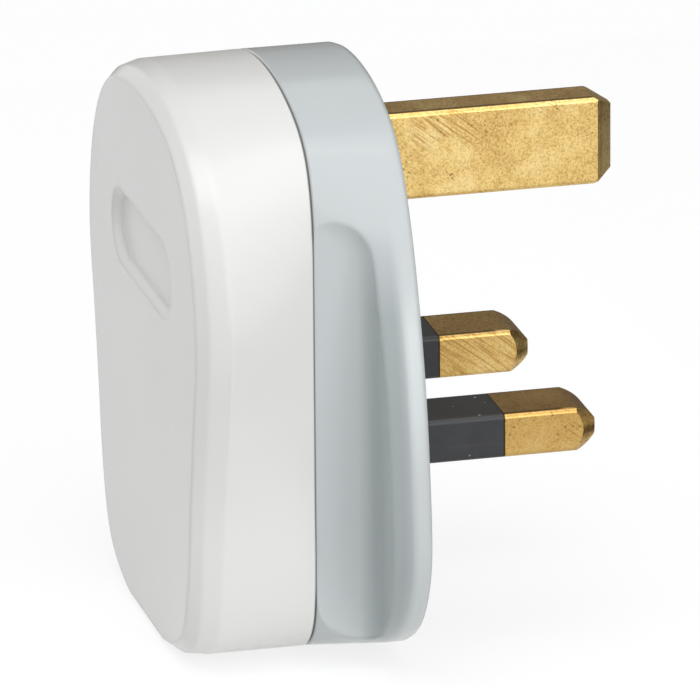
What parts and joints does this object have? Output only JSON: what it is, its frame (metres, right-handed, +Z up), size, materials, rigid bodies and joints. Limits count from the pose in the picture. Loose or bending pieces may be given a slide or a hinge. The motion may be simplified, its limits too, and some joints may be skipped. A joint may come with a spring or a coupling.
{
  "type": "electrical plug",
  "caption": "Rewirable mains plug: white front cover, grey base with scooped finger grips, flat brass pins, the short ones sleeved, and a fused inside.",
  "frame": {"origin": "on the engagement face, in the middle plane, level with the centres of the two short pins", "axes": "+Y the way the pins go into a socket, +Z up to the earth pin, +X towards the line pin"},
  "size_m": [0.0502, 0.0423, 0.0505],
  "materials": {
    "shell_white": "glossy",
    "shell_grey": "glossy",
    "pin_brass": "satin",
    "terminal_brass": "satin",
    "sleeve_dark": "matt",
    "screw_steel": "plated",
    "clip_copper": "satin",
    "fuse_ceramic": "fired",
    "fuse_metal": "nickel plated",
    "grip_fibre": "matt",
    "washer_fibre": "matt"
  },
  "bodies": {
    "root": {"base": "shell_grey", "cover": "shell_white", "earth_pin": "pin_brass", "neutral_pin": "pin_brass", "line_pin": "pin_brass", "neutral_sleeve": "sleeve_dark", "line_sleeve": "sleeve_dark", "earth_terminal_screw": "screw_steel", "neutral_terminal_screw": "screw_steel", "load_terminal_screw": "screw_steel", "load_terminal": "terminal_brass", "cover_insert": "terminal_brass", "line_fuse_clip": "clip_copper", "load_fuse_clip": "clip_copper", "fuse_body": "fuse_ceramic", "fuse_cap_lower": "fuse_metal", "fuse_cap_upper": "fuse_metal", "fuse_wire": "fuse_metal", "cord_grip_bar": "grip_fibre", "cord_grip_screw_left": "screw_steel", "cord_grip_screw_right": "screw_steel", "cover_screw": "screw_steel", "cover_screw_washer": "washer_fibre"}
  },
  "joints": []
}
